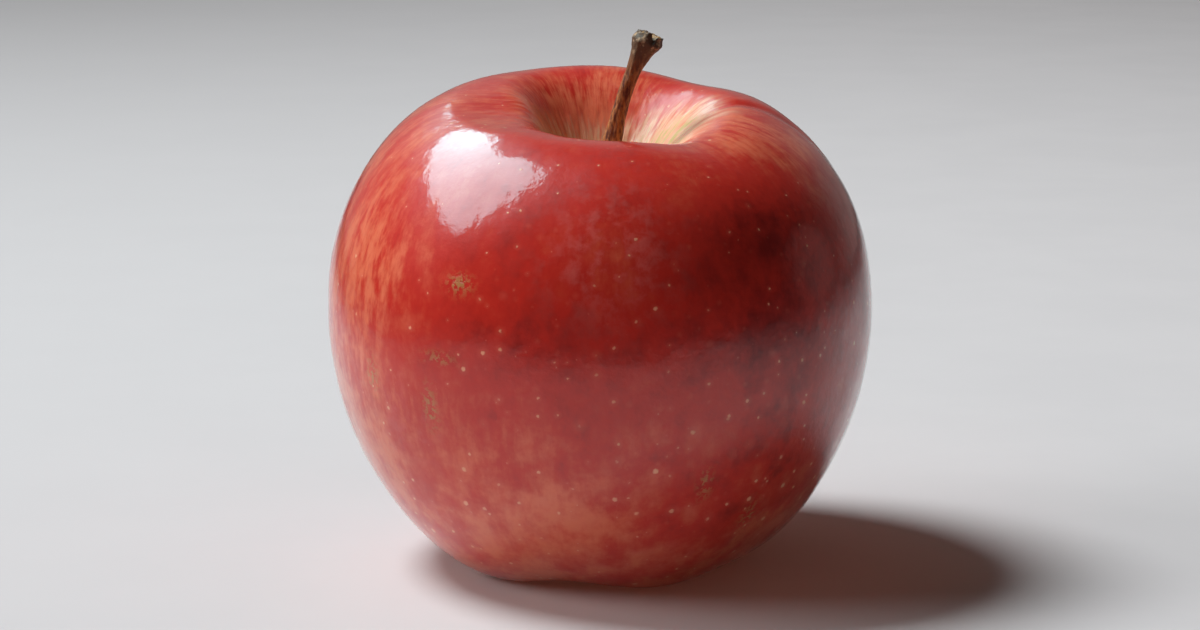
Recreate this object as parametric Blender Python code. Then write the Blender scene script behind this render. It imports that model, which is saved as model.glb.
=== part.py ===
"""An apple as picked: the fruit, its woody stem, and the dried sepals and stamens underneath.

Metres, +Z up. The apple stands on the plane z = 0, and its front faces -Y.
A bearing is an angle about +Z, in radians, from the front (-Y) towards the right (+X).
Every solid is a loft: closed rings of points, skinned one to the next and capped at both ends.
"""

import math

import bmesh
import bpy

# Flank of the fruit
FRUIT_RADIUS = 0.0380
WIDEST_HEIGHT = 0.0362
SIDE_ROUNDING = 0.0432  # radius of the flank's curve at its widest level, seen from the side

# Crown: the rounded ring about the stem cavity. It rises towards the back and a little to the left.
CROWN_HEIGHT = 0.0648
CROWN_RADIUS = 0.0193
CROWN_ROUNDING = 0.0075
CROWN_RISE_TO_BACK = 0.145  # height gained per metre towards +Y
CROWN_RISE_TO_LEFT = 0.021  # height gained per metre towards -X
CROWN_FOLDS = (  # shallow valleys that cross the crown: bearing, depth
    (math.radians(42), 0.0013),
    (math.radians(140), 0.0012),
    (math.radians(212), 0.0003),
    (math.radians(290), 0.0007),
)
FOLD_WIDTH = 0.30

# Lip: where the crown's level top ends and the cavity's wall begins, furthest in on the left
LIP_INSET = 0.0006  # inside the crown's radius, all round
LIP_EXTRA_INSET = 0.0070  # more than that on the left
LIP_BEARING = math.radians(278)
LIP_SPREAD = 0.60

# Stem cavity, from the lip down to the socket that holds the stem
CAVITY_DEPTH = 0.0130
CAVITY_FLOOR_ROUNDING = 0.0030
SOCKET_DEPTH = 0.0040

# Feet: the lobes that the apple stands on, each flattened where it rests
FOOT_COUNT = 5
FIRST_FOOT = math.radians(24)
FOOT_RADIUS = 0.0170
FOOT_ROUNDING = 0.0064
FOOT_NOTCH = 0.0012  # rise of the valley between two feet
FOOT_FLAT = 0.0003  # depth flattened off each foot

# Basin underneath, and the calyx tube in the middle of its roof
BASIN_DEPTH = 0.0085
BASIN_ROOF_ROUNDING = 0.0060
TUBE_RADIUS = 0.0022
TUBE_DEPTH = 0.0025

# Stem: upright in its socket, then leaning further and further to the right
STEM_RISE = 0.0222  # above the cavity floor
STEM_REACH = 0.0071  # sideways, at the tip
STEM_START_LEAN = math.radians(14)
STEM_END_LEAN = math.radians(31)
STEM_BREAK_LEAN = math.radians(20)  # tilt of the broken end's face
STEM_BASE_RADIUS = 0.0019
STEM_NECK_RADIUS = 0.00098
STEM_KNOB_RADIUS = 0.0022
STEM_END_RADIUS = 0.0018
NECK_AT = 0.60  # share of the stem's curve
KNOB_AT = 0.95
STEM_SWELL = 4.0  # how late the neck swells into the knob

# Sepals: curled blades around the tube, each inside its own fifth of the circle
SEPAL_COUNT = 5
SEPAL_ROOT_GAP = 0.0010  # from the tube's edge to the middle of a blade
SEPAL_DROP = 0.0048
SEPAL_PINCH = 0.0013  # how far a blade's lower half is drawn inwards
SEPAL_CURL = 0.0004  # how far its tip turns back outwards
SEPAL_THICKNESS = 0.0005
SEPAL_TIP_THICKNESS = 0.0003
SEPAL_EDGE_THINNING = 0.5  # share of the thickness lost towards a blade's edges
SEPAL_FILL = 0.80  # share of its fifth of the circle that a blade covers at the root
SEPAL_TIP_WIDTH = 0.14  # share of the root's width

# Stamens: a dried tuft, seated in the tube
TUFT_DROP = 0.0034  # below the basin's roof
TUFT_WAIST_RADIUS = 0.0011
TUFT_END_RADIUS = 0.0015
TUFT_LOBES = 7
TUFT_FRAY = 0.22  # share of the radius

CLEARANCE = 0.0003  # between pieces that touch

# How often a value that is found step by step is refined
HANDLE_PASSES = 60
HALVINGS = 40

# Fineness of the meshes
MERIDIANS = 60
CAVITY_ROWS = 9
LIP_ROWS = 2
SHOULDER_ROWS = 13
BELLY_ROWS = 14
BASIN_ROWS = 10
STEM_SIDES = 16
STEM_ROWS = 18
SEPAL_ROWS = 7
SEPAL_SPANS = 4
TUFT_SIDES = 28


def place(distance, bearing, height):
    """The point at this distance from the apple's axis."""
    return (distance * math.sin(bearing), -distance * math.cos(bearing), height)


def cubic(start, start_handle, end_handle, end, t):
    """A point on a cubic curve given by its ends and handles."""
    u = 1 - t
    weights = (u**3, 3 * u * u * t, 3 * u * t * t, t**3)
    points = (start, start_handle, end_handle, end)
    return tuple(sum(w * p[axis] for w, p in zip(weights, points)) for axis in range(2))


def s_handles(rise, start_rounding, end_rounding):
    """Handle lengths of a curve that starts and ends level, for the wanted roundings."""
    return math.sqrt(rise * start_rounding * 2 / 3), math.sqrt(rise * end_rounding * 2 / 3)


def quarter_handles(run, drop, level_rounding, upright_rounding):
    """Handle lengths of a curve that starts level and ends upright, for the wanted roundings.

    Each handle's length depends on the other's, so they are refined in turn until they settle.
    """
    level = run / 2
    upright = drop / 2
    for _ in range(HANDLE_PASSES):
        wanted_level = math.sqrt(level_rounding * (drop - upright) * 2 / 3)
        wanted_upright = math.sqrt(upright_rounding * max(run - level, 0) * 2 / 3)
        level = (level + min(wanted_level, run)) / 2
        upright = (upright + min(wanted_upright, drop)) / 2
    return level, upright


def sample(curve, rows):
    """Points along a cubic curve, without its start."""
    return [cubic(*curve, row / rows) for row in range(1, rows + 1)]


def cavity_floor():
    return CROWN_HEIGHT - CAVITY_DEPTH


def crown_height(bearing):
    rise_to_back = -CROWN_RISE_TO_BACK * math.cos(bearing)
    rise_to_right = -CROWN_RISE_TO_LEFT * math.sin(bearing)
    height = CROWN_HEIGHT + CROWN_RADIUS * (rise_to_back + rise_to_right)
    for fold, depth in CROWN_FOLDS:
        height -= depth * math.exp((math.cos(bearing - fold) - 1) / FOLD_WIDTH**2)
    return height


def lip_radius(bearing):
    """Distance of the lip from the axis."""
    leftness = math.exp((math.cos(bearing - LIP_BEARING) - 1) / LIP_SPREAD**2)
    return CROWN_RADIUS - LIP_INSET - LIP_EXTRA_INSET * leftness


def foot_height(bearing):
    """Height of the foot ring before the feet are flattened: below z = 0 only at the feet."""
    valley = (1 - math.cos(FOOT_COUNT * (bearing - FIRST_FOOT))) / 2
    return FOOT_NOTCH * valley - FOOT_FLAT


def cavity_curve(bearing):
    """From the socket's mouth, up the wall of the cavity, to the lip."""
    mouth = STEM_BASE_RADIUS + CLEARANCE
    top = crown_height(bearing)
    lip = lip_radius(bearing)
    narrowing = (lip - mouth) / (CROWN_RADIUS - mouth)
    at_floor, at_lip = s_handles(top - cavity_floor(), CAVITY_FLOOR_ROUNDING, CROWN_ROUNDING)
    return (
        (mouth, cavity_floor()),
        (mouth + narrowing * at_floor, cavity_floor()),
        (lip - narrowing * at_lip, top),
        (lip, top),
    )


def lip_curve(bearing):
    """From the lip, level across the crown."""
    top = crown_height(bearing)
    lip = lip_radius(bearing)
    third = (CROWN_RADIUS - lip) / 3
    return (lip, top), (lip + third, top), (CROWN_RADIUS - third, top), (CROWN_RADIUS, top)


def shoulder_curve(bearing):
    """From the crown down to the widest level."""
    top = crown_height(bearing)
    run = FRUIT_RADIUS - CROWN_RADIUS
    level, upright = quarter_handles(run, top - WIDEST_HEIGHT, CROWN_ROUNDING, SIDE_ROUNDING)
    return (
        (CROWN_RADIUS, top),
        (CROWN_RADIUS + level, top),
        (FRUIT_RADIUS, WIDEST_HEIGHT + upright),
        (FRUIT_RADIUS, WIDEST_HEIGHT),
    )


def belly_curve(bearing):
    """From the widest level down to the foot ring."""
    bottom = foot_height(bearing)
    run = FRUIT_RADIUS - FOOT_RADIUS
    level, upright = quarter_handles(run, WIDEST_HEIGHT - bottom, FOOT_ROUNDING, SIDE_ROUNDING)
    return (
        (FRUIT_RADIUS, WIDEST_HEIGHT),
        (FRUIT_RADIUS, WIDEST_HEIGHT - upright),
        (FOOT_RADIUS + level, bottom),
        (FOOT_RADIUS, bottom),
    )


def basin_curve(bearing):
    """From the foot ring, up the wall of the basin, to the mouth of the calyx tube."""
    bottom = foot_height(bearing)
    at_foot, at_roof = s_handles(BASIN_DEPTH - bottom, FOOT_ROUNDING, BASIN_ROOF_ROUNDING)
    return (
        (FOOT_RADIUS, bottom),
        (FOOT_RADIUS - at_foot, bottom),
        (TUBE_RADIUS + at_roof, BASIN_DEPTH),
        (TUBE_RADIUS, BASIN_DEPTH),
    )


def meridian(bearing):
    """The fruit's outline at one bearing: distance and height, from the socket to the tube."""
    mouth = STEM_BASE_RADIUS + CLEARANCE
    outline = [(mouth, cavity_floor() - SOCKET_DEPTH), (mouth, cavity_floor())]
    outline += sample(cavity_curve(bearing), CAVITY_ROWS)
    outline += sample(lip_curve(bearing), LIP_ROWS)
    outline += sample(shoulder_curve(bearing), SHOULDER_ROWS)
    outline += sample(belly_curve(bearing), BELLY_ROWS)
    outline += sample(basin_curve(bearing), BASIN_ROWS)
    outline.append((TUBE_RADIUS, BASIN_DEPTH + TUBE_DEPTH))
    return [(distance, max(height, 0)) for distance, height in outline]


def loft(name, rings, material):
    """A closed solid through the rings, which all have the same number of points."""
    mesh = bmesh.new()
    loops = [[mesh.verts.new(point) for point in ring] for ring in rings]
    for near, far in zip(loops, loops[1:]):
        for i, corner in enumerate(near):
            mesh.faces.new((near[i - 1], corner, far[i], far[i - 1]))
    mesh.faces.new(loops[0])
    mesh.faces.new(loops[-1])
    bmesh.ops.recalc_face_normals(mesh, faces=mesh.faces)
    for face in mesh.faces:
        face.smooth = True
    data = bpy.data.meshes.new(name)
    mesh.to_mesh(data)
    mesh.free()
    data.materials.append(material)
    solid = bpy.data.objects.new(name, data)
    bpy.context.scene.collection.objects.link(solid)
    return solid


def principled(name, colour, roughness):
    material = bpy.data.materials.new(name)
    material.use_nodes = True
    shader = material.node_tree.nodes["Principled BSDF"]
    shader.inputs["Base Color"].default_value = (*colour, 1)
    shader.inputs["Roughness"].default_value = roughness
    shader.inputs["Metallic"].default_value = 0
    return material


def skin_material():
    return principled("skin", (0.42, 0.030, 0.022), 0.22)


def stem_material():
    return principled("stem_wood", (0.13, 0.055, 0.028), 0.65)


def sepal_material():
    return principled("dried_sepal", (0.16, 0.105, 0.055), 0.80)


def stamen_material():
    return principled("dried_stamen", (0.055, 0.032, 0.020), 0.85)


def make_fruit():
    bearings = [FIRST_FOOT + math.tau * i / MERIDIANS for i in range(MERIDIANS)]
    outlines = [meridian(bearing) for bearing in bearings]
    rings = []
    for level in zip(*outlines):
        rings.append([place(d, bearing, z) for bearing, (d, z) in zip(bearings, level)])
    return loft("fruit", rings, skin_material())


def eased(start, end, t):
    """From start to end, level at both."""
    return start + (end - start) * t * t * (3 - 2 * t)


def stem_radius(t):
    """Half the stem's girth at a share of its curve: it narrows, then swells into a knob."""
    if t < NECK_AT:
        return eased(STEM_BASE_RADIUS, STEM_NECK_RADIUS, t / NECK_AT)
    if t < KNOB_AT:
        swell = ((t - NECK_AT) / (KNOB_AT - NECK_AT)) ** STEM_SWELL
        return STEM_NECK_RADIUS + (STEM_KNOB_RADIUS - STEM_NECK_RADIUS) * swell
    return eased(STEM_KNOB_RADIUS, STEM_END_RADIUS, (t - KNOB_AT) / (1 - KNOB_AT))


def stem_ring(x, z, lean, radius):
    """A circle about the stem's centre line, square to it. The stem bends in the XZ plane."""
    ring = []
    for side in range(STEM_SIDES):
        turn = math.tau * side / STEM_SIDES
        across = radius * math.cos(turn)
        along_y = radius * math.sin(turn)
        ring.append((x + across * math.cos(lean), along_y, z - across * math.sin(lean)))
    return ring


def stem_curve():
    """The stem's centre line above the cavity floor, as sideways reach and height."""
    floor = cavity_floor()
    third = STEM_RISE / 3
    return (
        (0, floor),
        (third * math.tan(STEM_START_LEAN), floor + third),
        (STEM_REACH - third * math.tan(STEM_END_LEAN), floor + STEM_RISE - third),
        (STEM_REACH, floor + STEM_RISE),
    )


def make_stem():
    seat = cavity_floor() - SOCKET_DEPTH + CLEARANCE
    rings = [stem_ring(0, seat, 0, STEM_BASE_RADIUS), stem_ring(0, cavity_floor(), 0, STEM_BASE_RADIUS)]
    curve = stem_curve()
    for row in range(1, STEM_ROWS + 1):
        t = row / STEM_ROWS
        x, z = cubic(*curve, t)
        lean = STEM_START_LEAN + (STEM_BREAK_LEAN - STEM_START_LEAN) * t
        rings.append(stem_ring(x, z, lean, stem_radius(t)))
    return loft("stem", rings, stem_material())


def height_above(curve, distance):
    """Height of a curve where it passes this distance from the axis, found by halving."""
    low, high = 0, 1
    for _ in range(HALVINGS):
        middle = (low + high) / 2
        if cubic(*curve, middle)[0] > distance:
            low = middle
        else:
            high = middle
    return cubic(*curve, high)[1]


def sepal_curve(bearing):
    """The middle line of a blade: down from the basin's roof, drawn in, then turned out."""
    root = TUBE_RADIUS + SEPAL_ROOT_GAP
    top = height_above(basin_curve(bearing), root + SEPAL_THICKNESS / 2) - CLEARANCE
    return (
        (root, top),
        (root, top - SEPAL_DROP / 3),
        (root - SEPAL_PINCH, top - SEPAL_DROP * 2 / 3),
        (root + SEPAL_CURL, top - SEPAL_DROP),
    )


def sepal_ring(bearing, centre, thickness, half_angle):
    """One cross-section of a blade, curved about the apple's axis: out along it and back."""
    distance, height = centre
    ring = []
    for side, order in ((1, 1), (-1, -1)):
        for span in range(SEPAL_SPANS + 1):
            across = order * (2 * span / SEPAL_SPANS - 1)
            swell = thickness * (1 - SEPAL_EDGE_THINNING * across * across) / 2
            ring.append(place(distance + side * swell, bearing + across * half_angle, height))
    return ring


def make_sepal(number):
    bearing = math.tau * (number - 0.5) / SEPAL_COUNT
    curve = sepal_curve(bearing)
    widest = SEPAL_FILL * math.pi / SEPAL_COUNT
    rings = []
    for row in range(SEPAL_ROWS + 1):
        t = row / SEPAL_ROWS
        thickness = eased(SEPAL_THICKNESS, SEPAL_TIP_THICKNESS, t)
        taper = SEPAL_TIP_WIDTH + (1 - SEPAL_TIP_WIDTH) * math.sqrt(1 - t**2)
        rings.append(sepal_ring(bearing, cubic(*curve, t), thickness, widest * taper))
    return loft(f"sepal_{number}", rings, sepal_material())


def tuft_ring(radius, height, fray):
    ring = []
    for side in range(TUFT_SIDES):
        bearing = math.tau * side / TUFT_SIDES
        ring.append(place(radius * (1 + fray * math.cos(TUFT_LOBES * bearing)), bearing, height))
    return ring


def make_stamens():
    seated = TUBE_RADIUS - CLEARANCE
    top = BASIN_DEPTH + TUBE_DEPTH - CLEARANCE
    end = BASIN_DEPTH - TUFT_DROP
    rings = [
        tuft_ring(seated, top, 0),
        tuft_ring(seated, BASIN_DEPTH, 0),
        tuft_ring(TUFT_WAIST_RADIUS, BASIN_DEPTH - TUFT_DROP / 3, TUFT_FRAY / 2),
        tuft_ring(TUFT_END_RADIUS / (1 + TUFT_FRAY), end, TUFT_FRAY),
    ]
    return loft("stamens", rings, stamen_material())


def main():
    for leftover in list(bpy.data.objects):
        bpy.data.objects.remove(leftover)
    make_fruit()
    make_stem()
    for number in range(1, SEPAL_COUNT + 1):
        make_sepal(number)
    make_stamens()


main()
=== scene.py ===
"""The looks of the apple: its skin, woody stem, dried sepals and stamens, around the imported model.

Metres, +Z up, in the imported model's frame. A bearing is an angle about +Z, from the front (-Y)
towards the right (+X). The fruit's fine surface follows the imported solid's own curves, so the
dimensions below are the solid's dimensions.
"""

import math
from types import SimpleNamespace

import bpy
import numpy as np
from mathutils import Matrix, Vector, noise


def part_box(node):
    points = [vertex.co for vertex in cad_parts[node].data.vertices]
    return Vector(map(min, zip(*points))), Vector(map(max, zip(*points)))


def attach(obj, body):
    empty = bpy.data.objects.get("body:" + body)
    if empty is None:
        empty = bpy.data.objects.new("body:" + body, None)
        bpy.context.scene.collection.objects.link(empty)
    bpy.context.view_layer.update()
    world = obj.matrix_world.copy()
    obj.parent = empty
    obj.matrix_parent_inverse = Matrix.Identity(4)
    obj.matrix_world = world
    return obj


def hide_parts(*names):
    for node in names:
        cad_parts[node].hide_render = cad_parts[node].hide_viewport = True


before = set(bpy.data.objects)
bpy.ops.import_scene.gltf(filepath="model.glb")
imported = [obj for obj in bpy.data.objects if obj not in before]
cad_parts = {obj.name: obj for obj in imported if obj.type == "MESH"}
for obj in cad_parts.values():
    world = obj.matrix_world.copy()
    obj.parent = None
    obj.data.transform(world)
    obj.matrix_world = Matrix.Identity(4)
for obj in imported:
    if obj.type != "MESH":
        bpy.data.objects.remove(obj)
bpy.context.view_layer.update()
FRUIT_LOW, FRUIT_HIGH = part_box("fruit")

MM = 0.001

# The fruit's flank, crown, cavity, feet and basin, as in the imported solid
FRUIT_RADIUS = (FRUIT_HIGH.x - FRUIT_LOW.x) / 2
WIDEST_HEIGHT = 36.2 * MM
SIDE_ROUNDING = 43.2 * MM
CROWN_HEIGHT = 64.8 * MM
CROWN_RADIUS = 19.3 * MM
CROWN_ROUNDING = 7.5 * MM
CROWN_RISE_TO_BACK = 0.145
CROWN_RISE_TO_LEFT = 0.021
CROWN_FOLDS = ((42, 1.3 * MM), (140, 1.2 * MM), (212, 0.3 * MM), (290, 0.7 * MM))
FOLD_WIDTH = 0.30
LIP_INSET = 0.6 * MM
LIP_EXTRA_INSET = 7.0 * MM
LIP_BEARING = math.radians(278)
LIP_SPREAD = 0.60
CAVITY_FLOOR = CROWN_HEIGHT - 13.0 * MM
CAVITY_FLOOR_ROUNDING = 3.0 * MM
SOCKET_RADIUS = 1.8 * MM
SOCKET_DEPTH = 4.0 * MM
FOOT_COUNT = 5
FIRST_FOOT = math.radians(24)
FOOT_RADIUS = 17.0 * MM
FOOT_ROUNDING = 6.4 * MM
FOOT_NOTCH = 1.2 * MM
FOOT_FLAT = 0.3 * MM
BASIN_DEPTH = 8.5 * MM
BASIN_ROOF_ROUNDING = 6.0 * MM
TUBE_RADIUS = 2.2 * MM
TUBE_DEPTH = 2.5 * MM

# The stem's centre line and girth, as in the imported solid
STEM_RISE = 22.2 * MM
STEM_REACH = 7.1 * MM
STEM_START_LEAN = math.radians(14)
STEM_END_LEAN = math.radians(31)
STEM_BREAK_LEAN = math.radians(20)
STEM_BASE_RADIUS = 1.9 * MM
STEM_NECK_RADIUS = 0.98 * MM
STEM_KNOB_RADIUS = 2.2 * MM
STEM_END_RADIUS = 1.8 * MM
NECK_AT = 0.60
KNOB_AT = 0.95
STEM_SWELL = 4.0

# Fineness of the fruit's surface: rows on each stretch of a meridian, and columns round the axis
COLUMNS = 360
CAVITY_ROWS = 46
LIP_ROWS = 14
SHOULDER_ROWS = 72
BELLY_ROWS = 76
BASIN_ROWS = 34
EASING_PASSES = 24


# Shapes -------------------------------------------------------------------------------------------

def field(points, size, seed):
    """Smooth noise between about -1 and 1 at each point, with features of this size."""
    shift = Vector((seed * 7.3, seed * 3.1, seed * 5.7))
    values = [noise.noise(Vector(p) / size + shift) for p in points.reshape(-1, 3)]
    return np.array(values).reshape(points.shape[:-1])


def smooth_step(value, low, high):
    """0 below low, 1 above high, and smooth between."""
    t = np.clip((value - low) / (high - low), 0, 1)
    return t * t * (3 - 2 * t)


def angle_from(bearing, centre):
    """Signed angle between a bearing and a centre, the short way round."""
    return (bearing - centre + math.pi) % math.tau - math.pi


def cubic(points, t):
    """Values along a cubic curve; the points are numbers or arrays over the bearings."""
    u = 1 - t
    start, start_handle, end_handle, end = points
    return u**3 * start + 3 * u * u * t * start_handle + 3 * u * t * t * end_handle + t**3 * end


def s_handles(rise, start_rounding, end_rounding):
    """Handle lengths of a curve that starts and ends level, for the wanted roundings."""
    return np.sqrt(rise * start_rounding * 2 / 3), np.sqrt(rise * end_rounding * 2 / 3)


def quarter_handles(run, drop, level_rounding, upright_rounding):
    """Handle lengths of a curve that starts level and ends upright, refined until they settle."""
    level = run / 2 + 0 * drop
    upright = drop / 2
    for _ in range(60):
        wanted_level = np.sqrt(level_rounding * (drop - upright) * 2 / 3)
        wanted_upright = np.sqrt(upright_rounding * np.maximum(run - level, 0) * 2 / 3)
        level = (level + np.minimum(wanted_level, run)) / 2
        upright = (upright + np.minimum(wanted_upright, drop)) / 2
    return level, upright


def crown_height(bearing):
    tilt = CROWN_RISE_TO_BACK * np.cos(bearing) + CROWN_RISE_TO_LEFT * np.sin(bearing)
    height = CROWN_HEIGHT - CROWN_RADIUS * tilt
    for fold, depth in CROWN_FOLDS:
        height -= depth * np.exp((np.cos(bearing - math.radians(fold)) - 1) / FOLD_WIDTH**2)
    return height


def lip_radius(bearing):
    leftness = np.exp((np.cos(bearing - LIP_BEARING) - 1) / LIP_SPREAD**2)
    return CROWN_RADIUS - LIP_INSET - LIP_EXTRA_INSET * leftness


def foot_height(bearing):
    valley = (1 - np.cos(FOOT_COUNT * (bearing - FIRST_FOOT))) / 2
    return FOOT_NOTCH * valley - FOOT_FLAT


def stretch(distances, heights, rows, columns):
    """Rows of (distance, height) along one stretch of every meridian, without its start."""
    t = np.linspace(0, 1, rows + 1)[1:, None]
    flat = np.zeros(columns)
    curves = [cubic([p + flat for p in values], t) for values in (distances, heights)]
    return np.stack(curves, axis=-1)


def meridians(bearing):
    """The smooth fruit as (distance, height) for each row and bearing, from socket to calyx tube."""
    top, bottom = crown_height(bearing), foot_height(bearing)
    count = len(bearing)
    lip = lip_radius(bearing)
    narrowing = (lip - SOCKET_RADIUS) / (CROWN_RADIUS - SOCKET_RADIUS)
    a, b = s_handles(top - CAVITY_FLOOR, CAVITY_FLOOR_ROUNDING, CROWN_ROUNDING)
    cavity = stretch((SOCKET_RADIUS, SOCKET_RADIUS + narrowing * a, lip - narrowing * b, lip),
                     (CAVITY_FLOOR, CAVITY_FLOOR, top, top), CAVITY_ROWS, count)
    third = (CROWN_RADIUS - lip) / 3
    crown = stretch((lip, lip + third, CROWN_RADIUS - third, CROWN_RADIUS),
                    (top, top, top, top), LIP_ROWS, count)
    a, b = quarter_handles(FRUIT_RADIUS - CROWN_RADIUS, top - WIDEST_HEIGHT,
                           CROWN_ROUNDING, SIDE_ROUNDING)
    shoulder = stretch((CROWN_RADIUS, CROWN_RADIUS + a, FRUIT_RADIUS, FRUIT_RADIUS),
                       (top, top, WIDEST_HEIGHT + b, WIDEST_HEIGHT), SHOULDER_ROWS, count)
    a, b = quarter_handles(FRUIT_RADIUS - FOOT_RADIUS, WIDEST_HEIGHT - bottom,
                           FOOT_ROUNDING, SIDE_ROUNDING)
    belly = stretch((FRUIT_RADIUS, FRUIT_RADIUS, FOOT_RADIUS + a, FOOT_RADIUS),
                    (WIDEST_HEIGHT, WIDEST_HEIGHT - b, bottom, bottom), BELLY_ROWS, count)
    a, b = s_handles(BASIN_DEPTH - bottom, FOOT_ROUNDING, BASIN_ROOF_ROUNDING)
    basin = stretch((FOOT_RADIUS, FOOT_RADIUS - a, TUBE_RADIUS + b, TUBE_RADIUS),
                    (bottom, bottom, BASIN_DEPTH, BASIN_DEPTH), BASIN_ROWS, count)
    ends = [(SOCKET_RADIUS, CAVITY_FLOOR - SOCKET_DEPTH), (SOCKET_RADIUS, CAVITY_FLOOR)]
    first = np.array(ends)[:, None, :] + np.zeros((2, count, 2))
    last = np.array([(TUBE_RADIUS, BASIN_DEPTH + TUBE_DEPTH)])[:, None, :] + np.zeros((1, count, 2))
    return eased_rows(np.concatenate([first, cavity, crown, shoulder, belly, basin, last]))


def eased_rows(outline):
    """The outline with its changes of curvature softened, except at its ends."""
    for _ in range(EASING_PASSES):
        middle = (outline[1:-3] + 2 * outline[2:-2] + outline[3:-1]) / 4
        outline = np.concatenate([outline[:2], middle, outline[-2:]])
    return outline


def spun(outline, bearing):
    """(distance, height) at each bearing, as points."""
    distance, height = outline[..., 0], outline[..., 1]
    return np.stack([distance * np.sin(bearing), -distance * np.cos(bearing), height], axis=-1)


def grid_normals(points):
    """Outward unit normals of a grid of points whose columns close round."""
    across = np.roll(points, -1, axis=1) - np.roll(points, 1, axis=1)
    down = np.gradient(points, axis=0)
    normal = np.cross(down, across)
    return normal / np.maximum(np.linalg.norm(normal, axis=-1, keepdims=True), 1e-12)


def grid_mesh(name, points, material):
    """A closed mesh through the rows of a grid whose columns close round, capped at both ends."""
    rows, columns = points.shape[:2]
    index = np.arange(rows * columns).reshape(rows, columns)
    beside = np.roll(index, -1, axis=1)
    quads = np.stack([index[:-1], index[1:], beside[1:], beside[:-1]], axis=-1).reshape(-1, 4)
    faces = quads.tolist() + [index[0].tolist(), index[-1][::-1].tolist()]
    data = bpy.data.meshes.new(name)
    data.from_pydata(points.reshape(-1, 3).tolist(), [], faces)
    data.materials.append(material)
    data.shade_smooth()
    data.update()
    return add_object(name, data)


def add_object(name, data):
    thing = bpy.data.objects.new(name, data)
    bpy.context.scene.collection.objects.link(thing)
    return thing


def mark(piece, name, values):
    """Stores a number for each of a piece's points, for its material to read."""
    attribute = piece.data.attributes.new(name, "FLOAT", "POINT")
    attribute.data.foreach_set("value", values.astype(np.float32).ravel())


# The fruit ----------------------------------------------------------------------------------------

# A narrow groove that runs out of the cavity and over the crown on the right
GROOVE_BEARING = math.radians(93)
GROOVE_DEPTH = 0.45 * MM
GROOVE_HALF_WIDTH = 1.5 * MM

# How uneven the skin is: size of the features, their height, seed of the noise
UNEVENNESS = ((17 * MM, 0.13 * MM, 1), (7 * MM, 0.070 * MM, 2), (2.8 * MM, 0.015 * MM, 3))

# Unevenness that runs along the meridians: over the whole fruit, and in the cavity
LONG_RIPPLE = 0.10 * MM
LONG_RIPPLE_REACH = 26 * MM
CAVITY_FURROW = 0.16 * MM
CAVITY_RIPPLE = 0.10 * MM

# The cavity's pale ground reaches this far from the stem, and further towards one bearing, on the right:
# that extra reach is partly painted light, on the inner wall that faces the lamps
CREAM_REACH = 8.5 * MM
CREAM_AND_LIT_WALL_REACH = 7.5 * MM
LIT_WALL_BEARING = math.radians(84)
LIT_WALL_SPREAD = 0.85

# How far the skin's red is deepened (+) or thinned (-): bearing in degrees, height, radius, amount. Most
# are the skin's own flush; two are painted light, marked below
FLUSHES_AND_PAINTED_LIGHT = (
    (-62, 43 * MM, 14 * MM, -0.42),
    (-75, 20 * MM, 13 * MM, -0.25),
    (-32, 35 * MM, 9 * MM, 0.02),
    (-100, 60 * MM, 13 * MM, -0.25),
    (170, 64 * MM, 12 * MM, -0.34),
    (22, 61 * MM, 9 * MM, -0.16),
    # painted reflection: this paler patch on the front, with the first veil, stands in for a pink glow
    # mirrored in the skin
    (-1, 49 * MM, 6 * MM, -0.14),
    (64, 62 * MM, 10 * MM, -0.36),
    (-12, 13 * MM, 12 * MM, -0.22),
    (40, 20 * MM, 10 * MM, 0.14),
    # painted shade: this deeper, near-maroon red on the front right stands in for shade on the side away
    # from the lamps
    (38, 45 * MM, 18 * MM, 0.20),
    (120, 30 * MM, 14 * MM, -0.12),
    (160, 45 * MM, 16 * MM, 0.25),
    (205, 30 * MM, 14 * MM, -0.30),
    (245, 50 * MM, 12 * MM, 0.10),
)

# Russet marks: bearing in degrees, height, reach across, reach up and down, strength
RUSSETS = (
    (-30, 45 * MM, 1.8 * MM, 1.2 * MM, 1.0),
    (-34, 35 * MM, 2.4 * MM, 0.8 * MM, 0.8),
    (-37, 28 * MM, 1.0 * MM, 2.8 * MM, 1.0),
    (-54, 31 * MM, 1.2 * MM, 2.4 * MM, 0.8),
    (24, 18 * MM, 1.0 * MM, 2.0 * MM, 0.8),
    (40, 12 * MM, 1.4 * MM, 2.0 * MM, 0.8),
    (95, 22 * MM, 2.5 * MM, 1.5 * MM, 0.7),
    (150, 35 * MM, 1.0 * MM, 3.0 * MM, 0.8),
    (215, 47 * MM, 2.0 * MM, 1.0 * MM, 0.9),
)

# Pale pink veils, laid out like the russet marks. The first, on the front, is a painted reflection
VEILS_AND_SHEEN = (
    (2, 49 * MM, 8 * MM, 8 * MM, 1.0),
    (62, 38 * MM, 5 * MM, 9 * MM, 0.5),
    (-45, 25 * MM, 7 * MM, 6 * MM, 0.5),
    (135, 52 * MM, 8 * MM, 6 * MM, 0.8),
    (200, 25 * MM, 9 * MM, 8 * MM, 0.8),
    (260, 40 * MM, 7 * MM, 9 * MM, 0.7),
)

# Shallow dents: bearing in degrees, height, radius, depth
DENTS = (
    (-28, 30 * MM, 6.0 * MM, 0.10 * MM),
    (41, 24 * MM, 7.0 * MM, 0.16 * MM),
    (66, 33 * MM, 4.5 * MM, 0.12 * MM),
    (118, 44 * MM, 6.5 * MM, 0.14 * MM),
    (-120, 26 * MM, 5.0 * MM, 0.12 * MM),
    (190, 38 * MM, 8.0 * MM, 0.18 * MM),
)


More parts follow.
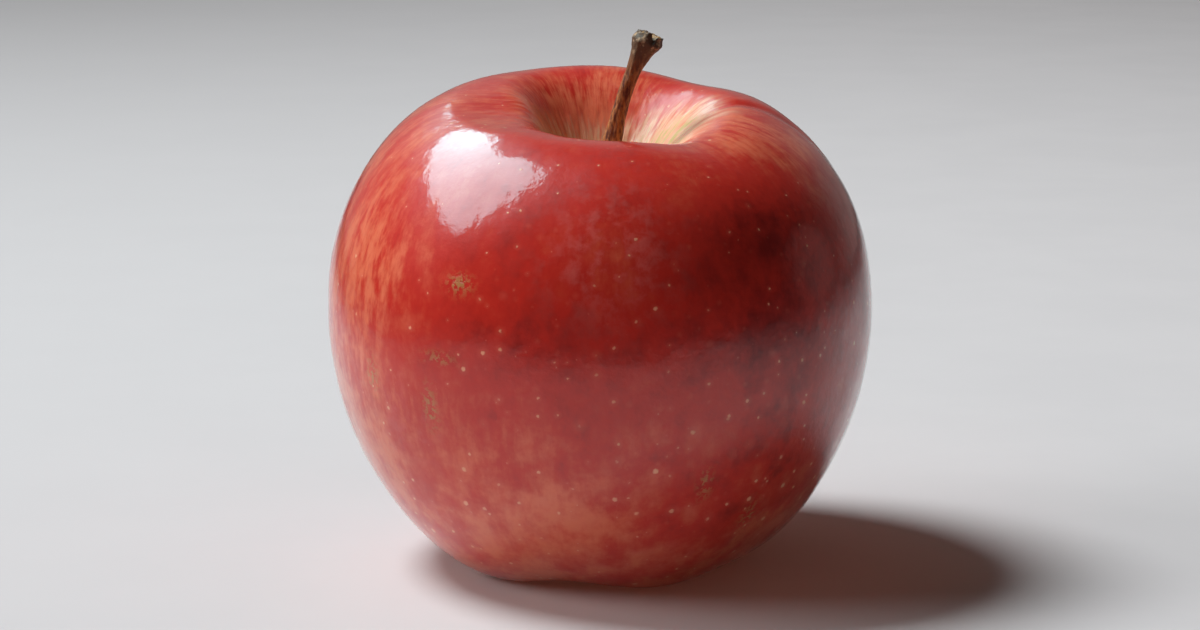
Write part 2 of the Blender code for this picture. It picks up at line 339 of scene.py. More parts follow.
def relief(points, bearing, along, crown_along):
    """How far the skin stands off the smooth fruit at each point."""
    out = np.zeros(along.shape)
    for size, height, seed in UNEVENNESS:
        out += height * field(points, size, seed)
    side = 0 * along
    around = np.stack([np.sin(bearing) + side, np.cos(bearing) + side, along / LONG_RIPPLE_REACH], axis=-1)
    out += LONG_RIPPLE * field(around, 0.45, 4)
    inside = 1 - smooth_step(along, 0.45 * crown_along, 1.15 * crown_along)
    out -= CAVITY_FURROW * inside * np.abs(field(around, 0.11, 5))
    out += CAVITY_RIPPLE * inside * field(around, 0.25, 6)
    out -= GROOVE_DEPTH * groove(points, bearing, along, crown_along)
    for centre, height, radius, depth in DENTS:
        out -= depth * spot(points, centre, height, radius)
    return out


def groove(points, bearing, along, crown_along):
    """1 in the middle of the groove, 0 away from it."""
    distance = np.hypot(points[..., 0], points[..., 1])
    aside = distance * angle_from(bearing, GROOVE_BEARING)
    ends = smooth_step(along, 0.5 * crown_along, 0.9 * crown_along)
    ends *= 1 - smooth_step(along, 1.2 * crown_along, 2.0 * crown_along)
    return ends * np.exp(-((aside / GROOVE_HALF_WIDTH) ** 2))


def spot(points, bearing, height, radius, rise=None):
    """1 at this bearing (in degrees) and height, fading sideways over the radius, upwards over the rise."""
    x, y = points[..., 0], points[..., 1]
    aside = np.hypot(x, y) * angle_from(np.arctan2(x, -y), math.radians(bearing))
    return np.exp(-((aside / radius) ** 2) - ((points[..., 2] - height) / (rise or radius)) ** 2)


def flush_and_painted_light(points, bearing, along, crown_along):
    """How red the skin is, from 0 for pale to 1 for the deepest. Two of its spots are painted light, one
    shade and one reflection, and the groove's deeper red is painted shade.
    """
    red = 0.58 + 0.12 * field(points, 22 * MM, 31) + 0.06 * field(points, 9 * MM, 32)
    red -= 0.12 * smooth_step(points[..., 2] + 3 * MM * field(points, 14 * MM, 33), 36 * MM, 27 * MM)
    for centre, height, radius, amount in FLUSHES_AND_PAINTED_LIGHT:
        red += amount * spot(points, centre, height, radius)
    # painted shade: the groove is drawn deeper red, as shade in a crease
    return red + 0.12 * groove(points, bearing, along, crown_along)


def marked(points, marks):
    """How strongly the skin carries any of these marks, from 0 to 1."""
    return np.max([strength * spot(points, *place) for *place, strength in marks], axis=0)


def cream_and_painted_light(points, bearing):
    """How much of the cavity's pale ground shows, from 1 at the stem to 0 outside. Its wider reach on the
    right is partly painted light on the wall that faces the lamps.
    """
    distance = np.hypot(points[..., 0], points[..., 1])
    further = np.exp(-((angle_from(bearing, LIT_WALL_BEARING) / LIT_WALL_SPREAD) ** 2))
    reach = CREAM_REACH + CREAM_AND_LIT_WALL_REACH * further
    above = smooth_step(points[..., 2], WIDEST_HEIGHT, CAVITY_FLOOR)
    return above * (1 - smooth_step(distance, 0.30 * reach, 1.5 * reach))


def wax(points, bearing):
    """How glossy the skin is: dull in the cavity, up to its lip."""
    distance = np.hypot(points[..., 0], points[..., 1])
    above = smooth_step(points[..., 2], WIDEST_HEIGHT, CAVITY_FLOOR)
    lip = lip_radius(bearing)
    return 1 - above * (1 - smooth_step(distance, lip - 5 * MM, lip + 2 * MM))


def make_fruit(material):
    bearing = np.arange(COLUMNS) * math.tau / COLUMNS
    smooth = spun(meridians(bearing), bearing)
    steps = np.linalg.norm(np.diff(smooth, axis=0), axis=-1)
    along = np.concatenate([np.zeros((1, COLUMNS)), np.cumsum(steps, axis=0)]) - SOCKET_DEPTH
    crown_along = along[1 + CAVITY_ROWS + LIP_ROWS].mean()
    end = along[-2]
    fade = smooth_step(along, 0, 4 * MM) * (1 - smooth_step(along, end - 5 * MM, end))
    standing = fade * relief(smooth, bearing, along, crown_along)
    points = smooth + grid_normals(smooth) * standing[..., None]
    points[..., 2] = np.maximum(points[..., 2], 0)
    piece = grid_mesh("apple_skin", points, material)
    mark(piece, "along", along)
    mark(piece, "flush_and_painted_light", flush_and_painted_light(points, bearing, along, crown_along))
    mark(piece, "cream_and_painted_light", cream_and_painted_light(points, bearing))
    mark(piece, "russet", marked(points, RUSSETS))
    mark(piece, "veil_and_sheen", marked(points, VEILS_AND_SHEEN))
    mark(piece, "wax", wax(points, bearing))
    return piece


# The stem -----------------------------------------------------------------------------------------

STEM_SIDES = 72
STEM_ROWS = 150
STEM_END_RINGS = 14


def stem_girth(t):
    """Half the stem's girth at a share of its curve."""
    narrow = STEM_BASE_RADIUS + (STEM_NECK_RADIUS - STEM_BASE_RADIUS) * smooth_step(t, 0, NECK_AT)
    swell = np.clip((t - NECK_AT) / (KNOB_AT - NECK_AT), 0, 1) ** STEM_SWELL
    wide = narrow + (STEM_KNOB_RADIUS - STEM_NECK_RADIUS) * swell
    return wide + (STEM_END_RADIUS - STEM_KNOB_RADIUS) * smooth_step(t, KNOB_AT, 1)


def stem_frame(t):
    """Centre and lean of the stem at a share of its curve."""
    third = STEM_RISE / 3
    leave, arrive = third * math.tan(STEM_START_LEAN), third * math.tan(STEM_END_LEAN)
    x = cubic((0, leave, STEM_REACH - arrive, STEM_REACH), t)
    z = CAVITY_FLOOR + cubic((0, third, STEM_RISE - third, STEM_RISE), t)
    return x, z, STEM_START_LEAN + (STEM_BREAK_LEAN - STEM_START_LEAN) * t


def stem_rings():
    """Shares of the curve and of the girth for each ring, from the socket to the broken end's middle."""
    side = np.linspace(-0.13, 1, STEM_ROWS)
    inwards = np.linspace(1, 0.02, STEM_END_RINGS + 1)[1:]
    return np.concatenate([side, np.ones(STEM_END_RINGS)]), np.concatenate([np.ones(STEM_ROWS), inwards])


def bark_relief(t, turn):
    """How much the stem's girth varies: ridges all along, and coarser lumps on the knob."""
    flat = 0 * t[:, None]
    around = np.stack([np.cos(turn) + flat, np.sin(turn) + flat, t[:, None] + 0 * turn], axis=-1)
    bark = 0.07 * field(around * (1, 1, 2.5), 0.28, 11) + 0.05 * field(around * (1, 1, 9), 0.5, 12)
    lumps = 0.16 * field(around * (1, 1, 9), 0.9, 13) + 0.08 * field(around * (1, 1, 12), 0.35, 14)
    return bark + smooth_step(t, 0.80, 0.97)[:, None] * lumps


def make_stem(material):
    t, share = stem_rings()
    x, z, lean = stem_frame(np.clip(t, 0, 1))
    z = z + np.minimum(t, 0) * STEM_RISE
    turn = np.arange(STEM_SIDES) * math.tau / STEM_SIDES
    flare = 1 + 0.35 * (1 - smooth_step(t, 0, 0.10))[:, None]
    girth = stem_girth(np.clip(t, 0, 1))[:, None] * share[:, None] * (1 + bark_relief(t, turn)) * flare
    across, deep = girth * np.cos(turn), girth * np.sin(turn)
    lift = broken_face(across, deep) * smooth_step(t, 0.90, 1.0)[:, None]
    points = np.stack([
        x[:, None] + across * np.cos(lean)[:, None] + lift * np.sin(lean)[:, None],
        deep,
        z[:, None] - across * np.sin(lean)[:, None] + lift * np.cos(lean)[:, None],
    ], axis=-1)
    piece = grid_mesh("apple_stem", points, material)
    mark(piece, "along", np.broadcast_to(t[:, None], across.shape))
    mark(piece, "inside", np.broadcast_to(1 - share[:, None], across.shape))
    return piece


def broken_face(across, deep):
    """Height of the broken end above its plane: a raised left lobe, a crevice, and a lower right lobe."""
    flat = np.stack([across, deep, 0 * across], axis=-1)
    height = 0.25 * MM * field(flat, 0.8 * MM, 15) + 0.12 * MM * field(flat, 0.35 * MM, 16)
    crevice = np.exp(-(((across + 0.1 * MM + 0.3 * deep) / (0.35 * MM)) ** 2))
    return height + 0.15 * MM * (across < 0) - 0.55 * MM * crevice


# The dried calyx underneath -----------------------------------------------------------------------

SEPAL_COUNT = 5
SEPAL_WIDTH_SHARE = 0.8
SEPAL_ROWS = 36
SEPAL_SPANS = 18
STRAND_COUNT = 20
GOLDEN_ANGLE = 2.399963
GOLDEN_SHARE = 0.618034


def bend_noise(points, size, seed, amount):
    """Points shifted by smooth noise."""
    shift = np.stack([field(points, size, seed + k) for k in range(3)], axis=-1)
    return points + amount * shift


def make_sepal(number, material):
    """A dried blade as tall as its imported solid, with a ragged edge, a midrib and a curled tip."""
    low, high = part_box(f"sepal_{number}")
    bearing = math.tau * (number - 0.5) / SEPAL_COUNT
    t = np.linspace(0, 1, SEPAL_ROWS)[:, None]
    root = TUBE_RADIUS + 1.0 * MM
    drop = high.z - low.z
    distance = cubic((root, root, root - 1.3 * MM, root + 0.4 * MM), t)
    height = high.z - drop * t
    there, back = np.linspace(-1, 1, SEPAL_SPANS), np.linspace(1, -1, SEPAL_SPANS)
    across = np.concatenate([there, back])[None, :]
    side = np.concatenate([np.ones(SEPAL_SPANS), -np.ones(SEPAL_SPANS)])[None, :]
    half_angle = SEPAL_WIDTH_SHARE * math.pi / SEPAL_COUNT * (0.14 + 0.86 * np.sqrt(1 - t**2))
    ragged = 1 + 0.10 * np.sin(23 * t + number) * np.sin(9 * t + 2 * number)
    thickness = (0.5 - 0.2 * t) * MM * (1 - 0.6 * across**2)
    midrib = 0.10 * MM * np.exp(-((across / 0.12) ** 2)) * (1 - t)
    curl = 0.35 * MM * across**2 * t * np.sin(number * 2.1)
    angle = bearing + across * half_angle * ragged
    radius = distance + side * thickness / 2 - midrib + curl
    points = np.stack([radius * np.sin(angle), -radius * np.cos(angle), height + 0 * angle], axis=-1)
    points = bend_noise(points, 1.6 * MM, 20 + number, 0.10 * MM)
    points[..., 2] = np.minimum(points[..., 2], high.z)
    piece = grid_mesh(f"apple_sepal_{number}", points, material)
    return piece


def tube_points(path, radii, sides):
    """Rings of points about a path."""
    path = np.asarray(path)
    ahead = np.gradient(path, axis=0)
    ahead /= np.linalg.norm(ahead, axis=1, keepdims=True)
    first = np.cross(ahead, (0.31, 0.95, 0.05))
    first /= np.linalg.norm(first, axis=1, keepdims=True)
    second = np.cross(ahead, first)
    turn = np.arange(sides) * math.tau / sides
    ring = first[:, None] * np.cos(turn)[None, :, None] + second[:, None] * np.sin(turn)[None, :, None]
    return path[:, None] + ring * np.asarray(radii)[:, None, None]


def make_plug(low, high, material):
    """The tuft's body: round in the calyx tube, then narrower and frayed."""
    seated = TUBE_RADIUS - 0.3 * MM
    rows, sides = 40, 84
    t = np.linspace(0, 1, rows)
    turn = np.arange(sides) * math.tau / sides
    shape = np.where(t < 0.42, 1, 0.58 + 0.42 * (1 - smooth_step(t, 0.42, 0.72)))
    fray = 0.22 * smooth_step(t, 0.42, 0.8)[:, None] * np.cos(7 * turn)
    radius = seated * shape[:, None] * (1 + fray) * (1 - 0.55 * smooth_step(t, 0.72, 1))[:, None]
    height = high - 0.8 * (high - low) * t[:, None] + 0 * radius
    plug = np.stack([radius * np.sin(turn), -radius * np.cos(turn), height], axis=-1)
    return grid_mesh("apple_stamens", plug, material)


def make_strand(strand, low, high, material):
    """One filament, which hangs outwards and ends in a small swelling."""
    drop = high - low
    s = np.linspace(0, 1, 14)
    spread = 0.25 + 0.75 * ((strand * GOLDEN_SHARE) % 1)
    distance = (0.45 + (0.55 * spread + 0.15) * s**1.6) * MM
    bearings = strand * GOLDEN_ANGLE + 0.5 * s * math.sin(strand)
    z = high - 0.45 * drop - (0.55 * drop - 0.25 * MM * spread) * s
    path = np.stack([distance * np.sin(bearings), -distance * np.cos(bearings), z], axis=-1)
    radii = (0.11 - 0.04 * s) * MM + 0.11 * MM * np.exp(-(((s - 0.93) / 0.05) ** 2))
    return grid_mesh(f"strand_{strand}", tube_points(path, radii, 10), material)


def make_stamens(material):
    """The dried tuft: a plug in the calyx tube, with filaments that hang and part below it."""
    low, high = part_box("stamens")
    pieces = [make_plug(low.z, high.z, material)]
    pieces += [make_strand(strand, low.z, high.z, material) for strand in range(STRAND_COUNT)]
    bpy.ops.object.select_all(action="DESELECT")
    for piece in pieces:
        piece.select_set(True)
    bpy.context.view_layer.objects.active = pieces[0]
    bpy.ops.object.join()
    return pieces[0]


# Materials ----------------------------------------------------------------------------------------

class Tree:
    """Adds nodes to a material; each method returns the socket that holds its result."""

    def __init__(self, name):
        self.material = bpy.data.materials.new(name)
        self.start(self.material)
        self.shader = self.nodes["Principled BSDF"]

    def start(self, owner):
        owner.use_nodes = True
        self.nodes = owner.node_tree.nodes
        self.links = owner.node_tree.links

    @classmethod
    def of(cls, owner):
        """An empty tree for a world or a material."""
        tree = cls.__new__(cls)
        tree.start(owner)
        tree.nodes.clear()
        return tree

    def feed(self, socket, value):
        if isinstance(value, bpy.types.NodeSocket):
            self.links.new(value, socket)
        elif socket.type == "RGBA":
            socket.default_value = (*value, 1)
        else:
            socket.default_value = value

    def add(self, kind, inputs, **settings):
        node = self.nodes.new(kind)
        for setting, value in settings.items():
            setattr(node, setting, value)
        for key, value in inputs.items():
            self.feed(node.inputs[key], value)
        return node

    def math(self, operation, a, b=0.0):
        return self.add("ShaderNodeMath", {0: a, 1: b}, operation=operation).outputs[0]

    def ramp(self, value, low, high, to_low=0.0, to_high=1.0):
        """Smoothly from to_low at low to to_high at high."""
        inputs = {"Value": value, "From Min": low, "From Max": high, "To Min": to_low, "To Max": to_high}
        return self.add("ShaderNodeMapRange", inputs, interpolation_type="SMOOTHSTEP").outputs["Result"]

    def blend(self, factor, a, b):
        """Colour a where the factor is 0, and colour b where it is 1."""
        return self.add("ShaderNodeMix", {0: factor, 6: a, 7: b}, data_type="RGBA").outputs[2]

    def scaled(self, vector, factors):
        node = self.add("ShaderNodeVectorMath", {0: vector}, operation="MULTIPLY")
        node.inputs[1].default_value = factors
        return node.outputs[0]

    def noise(self, vector, scale, detail, roughness):
        inputs = {"Vector": vector, "Scale": scale, "Detail": detail, "Roughness": roughness}
        return self.add("ShaderNodeTexNoise", inputs).outputs["Fac"]

    def cells(self, vector, scale):
        """Distance to the nearest of scattered points, and a random number for that point."""
        node = self.add("ShaderNodeTexVoronoi", {"Vector": vector, "Scale": scale})
        lottery = self.add("ShaderNodeSeparateColor", {"Color": node.outputs["Color"]})
        return node.outputs["Distance"], lottery.outputs[0]

    def axes(self, vector):
        """The X, Y and Z of a vector."""
        return self.add("ShaderNodeSeparateXYZ", {"Vector": vector}).outputs

    def attribute(self, name):
        return self.add("ShaderNodeAttribute", {}, attribute_name=name).outputs["Fac"]

    def position(self):
        return self.add("ShaderNodeTexCoord", {}).outputs["Object"]

    def bump(self, height, distance):
        inputs = {"Height": height, "Distance": distance, "Strength": 1.0}
        return self.add("ShaderNodeBump", inputs).outputs["Normal"]


CORAL = (0.69, 0.165, 0.085)
RED = (0.52, 0.027, 0.017)
MAROON = (0.145, 0.0038, 0.0048)
VEIL_AND_SHEEN_PINK = (0.68, 0.17, 0.15)
CAVITY_CREAM_AND_LIGHT = (0.74, 0.43, 0.27)
CAVITY_GREEN = (0.52, 0.42, 0.15)
BASIN_OCHRE = (0.50, 0.36, 0.10)
LENTICEL_HALO = (0.66, 0.15, 0.10)
LENTICEL_PALE = (0.76, 0.38, 0.23)
RUSSET_TAN = (0.42, 0.25, 0.09)

# What is the same all over the skin
SKIN_SETTINGS = {
    "IOR": 1.45,
    "Specular IOR Level": 0.35,
    "Subsurface Weight": 0.10,
    "Subsurface Radius": (1.0, 0.25, 0.12),
    "Subsurface Scale": 1.5 * MM,
    "Coat Roughness": 0.06,
    "Coat IOR": 1.42,
}

# Lenticels: cells per metre, smallest and largest size as shares of a cell, share of cells left empty
LENTICELS = ((400, 0.02, 0.15, 0.35), (760, 0.02, 0.18, 0.68))

RAGGED = 0.25 * MM  # how far a lenticel's edge wanders


def streak_lines(t, skin, per_turn, per_metre):
    """Coordinates in which noise draws streaks that run from the stem down to the calyx."""
    flat = t.scaled(skin.place, (1, 1, 0))
    outward = t.add("ShaderNodeVectorMath", {0: flat}, operation="NORMALIZE").outputs[0]
    wide = t.axes(t.scaled(outward, (per_turn, per_turn, 0)))
    up = t.math("MULTIPLY", skin.along, per_metre)
    return t.add("ShaderNodeCombineXYZ", {"X": wide["X"], "Y": wide["Y"], "Z": up}).outputs[0]


def skin_patterns(t):
    """The coordinates and noises that the skin's colours and bumps are drawn from."""
    skin = SimpleNamespace(place=t.position(), along=t.attribute("along"))
    skin.z = t.axes(skin.place)["Z"]
    skin.mottle = t.noise(skin.place, 170, 4, 0.6)
    skin.cloud = t.noise(skin.place, 420, 4, 0.6)
    skin.grain = t.noise(skin.place, 1500, 3, 0.6)
    skin.streak = t.noise(streak_lines(t, skin, 12, 110), 1, 4, 0.60)
    skin.thread = t.noise(streak_lines(t, skin, 44, 420), 1, 3, 0.6)
    return skin


def skin_red(t, skin):
    """How red the skin is: streaks show most where the red is thin."""
    flush_and_painted_light = t.attribute("flush_and_painted_light")
    thin = t.math("MULTIPLY", t.ramp(flush_and_painted_light, 0.55, 0.20, 0.18, 1.0), t.ramp(skin.z, 0.012, 0.034, 0.30, 1.0))
    red = flush_and_painted_light
    for lines, strength in ((skin.streak, 0.17), (skin.thread, 0.13)):
        red = t.math("ADD", red, t.math("MULTIPLY", thin, t.ramp(lines, 0.30, 0.70, -strength, strength)))
    lower = t.ramp(skin.z, 0.034, 0.020, 1.0, 2.0)
    red = t.math("ADD", red, t.math("MULTIPLY", t.ramp(skin.mottle, 0.25, 0.75, -0.11, 0.11), lower))
    red = t.math("ADD", red, t.ramp(skin.cloud, 0.25, 0.75, -0.08, 0.08))
    return t.math("ADD", red, t.ramp(skin.z, 0.000, 0.016, -0.16, 0.0))


def skin_ground(t, skin):
    """The skin's colour, with its veils, the cavity's pale ground and the ochre basin underneath. The veil
    on the front is a painted reflection, and the pale ground's wider reach on the right is partly painted
    light.
    """
    red = skin_red(t, skin)
    colour = t.blend(t.ramp(red, 0.0, 0.55), CORAL, RED)
    colour = t.blend(t.ramp(red, 0.50, 1.05), colour, MAROON)
    # the veils; the one on the front is a painted reflection
    veil_and_sheen = t.math("MULTIPLY", t.attribute("veil_and_sheen"), t.ramp(skin.cloud, 0.42, 0.68))
    colour = t.blend(t.math("MULTIPLY", veil_and_sheen, 0.60), colour, VEIL_AND_SHEEN_PINK)
    broad, fine = t.ramp(skin.streak, 0.30, 0.70, 0.45, 1.55), t.ramp(skin.thread, 0.30, 0.70, 0.70, 1.30)
    # the cavity's pale ground, partly painted light on its right wall
    cream_and_painted_light = t.math("MULTIPLY", t.attribute("cream_and_painted_light"), t.math("MULTIPLY", broad, fine))
    colour = t.blend(t.ramp(cream_and_painted_light, 0.08, 0.62), colour, CAVITY_CREAM_AND_LIGHT)
    colour = t.blend(t.ramp(cream_and_painted_light, 0.62, 1.05), colour, CAVITY_GREEN)
    basin = t.math("ADD", skin.along, t.ramp(skin.streak, 0.30, 0.70, 0.006, -0.006))
    return t.blend(t.ramp(basin, 0.100, 0.118), colour, BASIN_OCHRE)


def with_lenticels(t, skin, colour):
    """The colour with pale, slightly ragged dots that have a soft halo and grow towards the base."""
    wander = t.add("ShaderNodeTexNoise", {"Vector": skin.place, "Scale": 2600.0, "Detail": 1.0})
    inputs = {0: wander.outputs["Color"], 1: (RAGGED,) * 3, 2: skin.place}
    ragged = t.add("ShaderNodeVectorMath", inputs, operation="MULTIPLY_ADD").outputs[0]
    growth = t.ramp(skin.z, 0.055, 0.012, 0.75, 1.25)
    spots = 0.0
    for scale, smallest, largest, empty in LENTICELS:
        near, lottery = t.cells(ragged, scale)
        size = t.math("MULTIPLY", t.ramp(lottery, empty, 1.0, smallest, largest), growth)
        dot = t.math("DIVIDE", near, size)
        colour = t.blend(t.math("MULTIPLY", t.ramp(dot, 3.2, 0.9), 0.20), colour, LENTICEL_HALO)
        dots = t.math("MULTIPLY", t.ramp(dot, 1.15, 0.50), t.ramp(lottery, empty, 1.0, 0.15, 0.95))
        colour = t.blend(dots, colour, LENTICEL_PALE)
        spots = t.math("ADD", dots, spots)
    return colour, spots


def skin_bumps(t, skin, spots, flecks):
    """The direction the skin faces, tilted by patterns that stand up by these millimetres."""
    heights = ((skin.mottle, 0.090), (skin.cloud, 0.060), (skin.grain, 0.0060),
               (spots, 0.015), (flecks, 0.035))
    total = 0.0
    for pattern, height in heights:
        total = t.math("ADD", t.math("MULTIPLY", pattern, height), total)
    return t.bump(total, MM)


def skin_material():
    t = Tree("apple_skin")
    skin = skin_patterns(t)
    colour, spots = with_lenticels(t, skin, skin_ground(t, skin))
    flecks = t.math("MULTIPLY", t.attribute("russet"), t.ramp(skin.grain, 0.47, 0.58))
    colour = t.blend(t.math("MULTIPLY", flecks, 0.9), colour, RUSSET_TAN)
    facing = skin_bumps(t, skin, spots, flecks)
    t.feed(t.shader.inputs["Base Color"], colour)
    t.feed(t.shader.inputs["Roughness"], t.ramp(skin.mottle, 0.35, 0.65, 0.30, 0.40))
    t.feed(t.shader.inputs["Coat Weight"], t.ramp(t.attribute("wax"), 0.0, 1.0, 0.10, 1.0))
    t.feed(t.shader.inputs["Normal"], facing)
    t.feed(t.shader.inputs["Coat Normal"], facing)
    for name, value in SKIN_SETTINGS.items():
        t.shader.inputs[name].default_value = value
    return t.material


STEM_DARK = (0.105, 0.019, 0.008)
STEM_LIGHT = (0.44, 0.16, 0.045)
STEM_UPPER = (0.095, 0.050, 0.026)
STEM_PATCH = (0.36, 0.25, 0.15)
STEM_BROKEN = (0.50, 0.30, 0.12)
STEM_FOOT = (0.35, 0.26, 0.08)


def stem_material():
    t = Tree("apple_stem_wood")
    place = t.position()
    along = t.attribute("along")
    inside = t.attribute("inside")
    fibre = t.noise(t.scaled(place, (1, 1, 0.22)), 2600, 4, 0.6)
    patch = t.noise(place, 900, 4, 0.6)
    colour = t.blend(t.ramp(fibre, 0.35, 0.65), STEM_DARK, STEM_LIGHT)
    colour = t.blend(t.ramp(along, 0.66, 0.94), colour, STEM_UPPER)
    weathered = t.math("MULTIPLY", t.ramp(patch, 0.52, 0.62), t.ramp(along, 0.60, 0.95))
    colour = t.blend(weathered, colour, STEM_PATCH)
    broken = t.math("MULTIPLY", t.ramp(patch, 0.45, 0.58), t.ramp(inside, 0.0, 0.3))
    colour = t.blend(broken, colour, STEM_BROKEN)
    colour = t.blend(t.ramp(along, 0.08, 0.0), colour, STEM_FOOT)
    t.feed(t.shader.inputs["Base Color"], colour)
    t.feed(t.shader.inputs["Roughness"], t.ramp(patch, 0.3, 0.7, 0.50, 0.80))
    heights = t.math("ADD", fibre, t.math("MULTIPLY", patch, 1.2))
    t.feed(t.shader.inputs["Normal"], t.bump(heights, 0.10 * MM))
    return t.material


def dried_material(name, dark, light, roughness):
    """Dry, fibrous tissue with darker patches."""
    t = Tree(name)
    place = t.position()
    fibre = t.noise(t.scaled(place, (1, 1, 0.25)), 3200, 4, 0.6)
    patch = t.noise(place, 1100, 4, 0.6)
    colour = t.blend(t.ramp(fibre, 0.35, 0.65), dark, light)
    colour = t.blend(t.ramp(patch, 0.50, 0.66), colour, tuple(0.45 * c for c in dark))
    t.feed(t.shader.inputs["Base Color"], colour)
    t.feed(t.shader.inputs["Roughness"], t.ramp(patch, 0.3, 0.7, roughness - 0.1, roughness + 0.1))
    t.feed(t.shader.inputs["Normal"], t.bump(fibre, 0.08 * MM))
    return t.material


# Studio -------------------------------------------------------------------------------------------

CAMERA_ELEVATION = 11
CAMERA_DISTANCE = 0.5
CAMERA_TARGET = Vector((0, 0, 34.7 * MM))
CAMERA_LENS = 107.3

# Lamps: name, bearing and elevation in degrees, distance, size, power in watts, colour
LAMPS = (
    ("key", -108, 59, 1.1, (0.42, 0.42), 13.7, (1.0, 0.975, 0.96)),
    ("side", -86, 23, 1.2, (0.7, 0.6), 6.6, (1.0, 0.97, 0.96)),
)

GLOW_AIM = Vector((0.005, -0.02, 0.002))
GLOW_POWER = 1.4
GLOW_COLOUR = (1.0, 0.30, 0.18)
GLOW_SPREAD = math.radians(13)


def towards(bearing, elevation, distance):
    """The point this far from the camera's target, in degrees of bearing and elevation."""
    b, e = math.radians(bearing), math.radians(elevation)
    way = Vector((math.sin(b) * math.cos(e), -math.cos(b) * math.cos(e), math.sin(e)))
    return CAMERA_TARGET + distance * way


def stand(thing, place, aim):
    """Puts a camera or a lamp at a place, facing what it is aimed at."""
    thing.location = place
    thing.rotation_euler = (aim - place).to_track_quat("-Z", "Y").to_euler()


def make_camera():
    camera = add_object("camera", bpy.data.cameras.new("camera"))
    stand(camera, towards(0, CAMERA_ELEVATION, CAMERA_DISTANCE), CAMERA_TARGET)
    camera.data.lens = CAMERA_LENS
    camera.data.clip_start = 0.01
    bpy.context.scene.camera = camera


def make_lamp(name, data, place, aim):
    """A lamp that lights the scene but isn't mirrored in the skin."""
    light = add_object(name, data)
    stand(light, place, aim)
    light.visible_glossy = False
    light.visible_camera = False


def make_soft_lamp(name, place, size, power, colour):
    data = bpy.data.lights.new(name, "AREA")
    data.shape = "ELLIPSE"
    data.size, data.size_y = size
    data.energy = power
    data.color = colour
    make_lamp(name, data, place, CAMERA_TARGET)


def make_glow(place):
    """A faint red light on the apple's base and the table round it, as if off the skin. No shadow."""
    data = bpy.data.lights.new("glow", "SPOT")
    data.energy = GLOW_POWER
    data.color = GLOW_COLOUR
    data.spot_size = GLOW_SPREAD
    data.spot_blend = 1.0
    data.use_shadow = False
    make_lamp("glow", data, place, GLOW_AIM)


def emission(name, colour, strength):
    material = bpy.data.materials.new(name)
    t = Tree.of(material)
    glow = t.add("ShaderNodeEmission", {"Color": colour, "Strength": strength})
    t.add("ShaderNodeOutputMaterial", {"Surface": glow.outputs[0]})
    return material


# The bright window that the skin mirrors, as across and up from its middle
WINDOW_OUTLINE = (
    (-0.64, -0.17), (-0.28, 0.01), (-0.18, 0.10), (-0.19, 0.18), (-0.02, 0.33), (0.17, 0.355),
    (0.43, 0.22), (0.66, 0.06), (0.68, -0.09), (0.45, -0.175), (0.10, -0.19), (-0.20, -0.215),
)
WINDOW_DISTANCE = 0.8
WINDOW_WAY = Vector((-0.488, 0.340, 0.804)).normalized()
WINDOW_COLOUR = (0.44, 0.84, 0.92)
WINDOW_STRENGTH = 8.3


def make_window():
    """A panel of light that only mirrors in the skin. The lamps do the lighting."""
    across = Vector((0, 0, 1)).cross(WINDOW_WAY).normalized()
    upward = WINDOW_WAY.cross(across)
    middle = CAMERA_TARGET + WINDOW_WAY * WINDOW_DISTANCE
    corners = [middle + across * a + upward * b for a, b in WINDOW_OUTLINE]
    data = bpy.data.meshes.new("window")
    data.from_pydata(corners, [], [list(range(len(corners)))])
    data.materials.append(emission("window_glow", WINDOW_COLOUR, WINDOW_STRENGTH))
    window = add_object("window", data)
    window.visible_camera = False
    window.visible_diffuse = False
    window.visible_shadow = False


# The bright part of the table that the skin mirrors ends this far in front and to the left; past it, every
# ray but the camera's finds painted shade
TABLE_END = 0.20
TABLE_END_SOFTNESS = 0.09
TABLE_PALE = ((0.650, 0.672, 0.700), (0.670, 0.692, 0.720))
TABLE_LEFT_SHADE = (0.46, 0.480, 0.500)
TABLE_MIRRORED_SHADE = (0.04, 0.035, 0.035)
TABLE_RADIUS = 2.5


def tabletop_material():
    """Pale, with painted shade that darkens it to the left. Only the camera sees it whole: to every other
    ray it is dark past its near end, and darker on the right, painted shade that the skin mirrors."""
    t = Tree("tabletop")
    place = t.position()
    parts = t.axes(place)
    away = t.add("ShaderNodeVectorMath", {0: place}, operation="LENGTH").outputs["Value"]
    near = t.blend(t.ramp(t.noise(place, 30, 5, 0.6), 0.3, 0.7), *TABLE_PALE)
    left, ahead = t.math("MULTIPLY", parts["X"], -1), t.math("MULTIPLY", parts["Y"], -1)
    # painted shade: the table darkens towards the left
    colour = t.blend(t.ramp(left, -0.20, 0.30), near, TABLE_LEFT_SHADE)
    # painted shade for every ray but the camera's: dark past the near end, darker on the right
    furthest = t.math("MAXIMUM", left, ahead)
    shade_beyond = t.ramp(furthest, TABLE_END - TABLE_END_SOFTNESS, TABLE_END + TABLE_END_SOFTNESS)
    shade_beyond = t.math("MAXIMUM", shade_beyond, t.ramp(parts["X"], 0.06, 0.40, 0.0, 0.65))
    unseen = t.math("SUBTRACT", 1.0, t.add("ShaderNodeLightPath", {}).outputs["Is Camera Ray"])
    colour = t.blend(t.math("MULTIPLY", shade_beyond, unseen), colour, TABLE_MIRRORED_SHADE)
    t.feed(t.shader.inputs["Base Color"], colour)
    t.shader.inputs["Roughness"].default_value = 0.85
    t.shader.inputs["Specular IOR Level"].default_value = 0.2
    t.feed(t.shader.inputs["Alpha"], t.ramp(away, 1.4, 2.4, 1.0, 0.0))
    return t.material


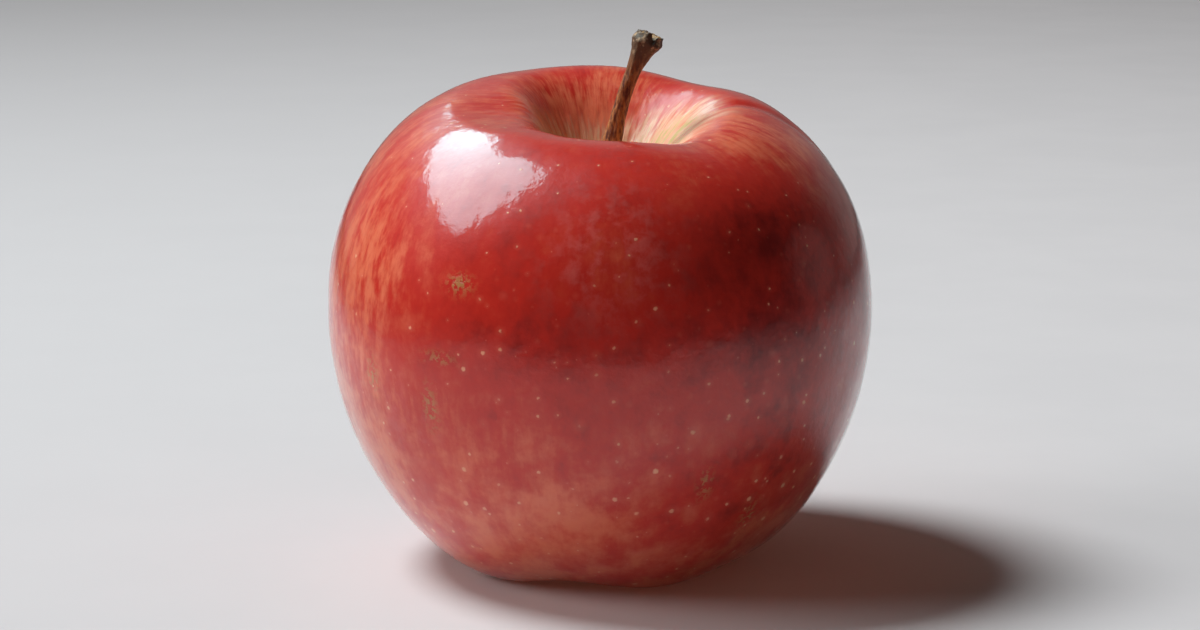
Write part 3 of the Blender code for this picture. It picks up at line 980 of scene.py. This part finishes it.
def make_floor():
    """A round tabletop that fades out into the backdrop."""
    material = tabletop_material()
    bpy.ops.mesh.primitive_circle_add(vertices=96, radius=TABLE_RADIUS, fill_type="NGON")
    floor = bpy.context.object
    floor.name = "tabletop"
    floor.data.materials.append(material)


# A pale door on the right, seen only in the skin
DOOR_WAY = (0.951, 0.255, 0.174)

ROOM_DIFFUSE = (0.060, 0.043, 0.035)
ROOM_MIRRORED = (0.014, 0.012, 0.012)
BACKDROP_MIRRORED = (0.26, 0.195, 0.185)
BACKDROP_SEEN = (0.40, 0.40, 0.42)


def make_world():
    """A dark room, in which the skin mirrors a pale backdrop behind the apple and a door beside it.
    The camera sees plain grey all round."""
    world = bpy.data.worlds.new("studio")
    bpy.context.scene.world = world
    t = Tree.of(world)
    way = t.add("ShaderNodeTexCoord", {}).outputs["Generated"]
    parts = t.axes(way)
    behind = t.math("MULTIPLY", t.ramp(parts["Y"], 0.40, 0.78), t.ramp(parts["Z"], 0.80, 0.45))
    beside = t.add("ShaderNodeVectorMath", {0: way, 1: DOOR_WAY}, operation="DISTANCE").outputs["Value"]
    bright = t.math("MAXIMUM", behind, t.ramp(beside, 0.34, 0.14, 0.0, 0.95))
    ray = t.add("ShaderNodeLightPath", {}).outputs
    dim = t.blend(ray["Is Glossy Ray"], ROOM_DIFFUSE, ROOM_MIRRORED)
    room = t.blend(t.math("MULTIPLY", bright, ray["Is Glossy Ray"]), dim, BACKDROP_MIRRORED)
    glow = t.add("ShaderNodeBackground", {"Color": t.blend(ray["Is Camera Ray"], room, BACKDROP_SEEN)})
    t.add("ShaderNodeOutputWorld", {"Surface": glow.outputs[0]})


def make_studio():
    make_camera()
    make_floor()
    make_world()
    make_window()
    for name, bearing, elevation, distance, size, power, colour in LAMPS:
        make_soft_lamp(name, towards(bearing, elevation, distance), size, power, colour)
    make_glow(towards(-22, 24, 0.5))
    bpy.context.scene.view_settings.view_transform = "Standard"


# Assembly -----------------------------------------------------------------------------------------

def settle(piece, node):
    """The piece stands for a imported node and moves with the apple."""
    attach(piece, "root")
    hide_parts(node)


def main():
    settle(make_fruit(skin_material()), "fruit")
    settle(make_stem(stem_material()), "stem")
    sepal = dried_material("apple_dried_sepal", (0.080, 0.045, 0.020), (0.26, 0.17, 0.085), 0.8)
    for number in range(1, SEPAL_COUNT + 1):
        settle(make_sepal(number, sepal), f"sepal_{number}")
    stamen = dried_material("apple_dried_stamen", (0.030, 0.016, 0.010), (0.12, 0.075, 0.04), 0.85)
    settle(make_stamens(stamen), "stamens")
    make_studio()


main()
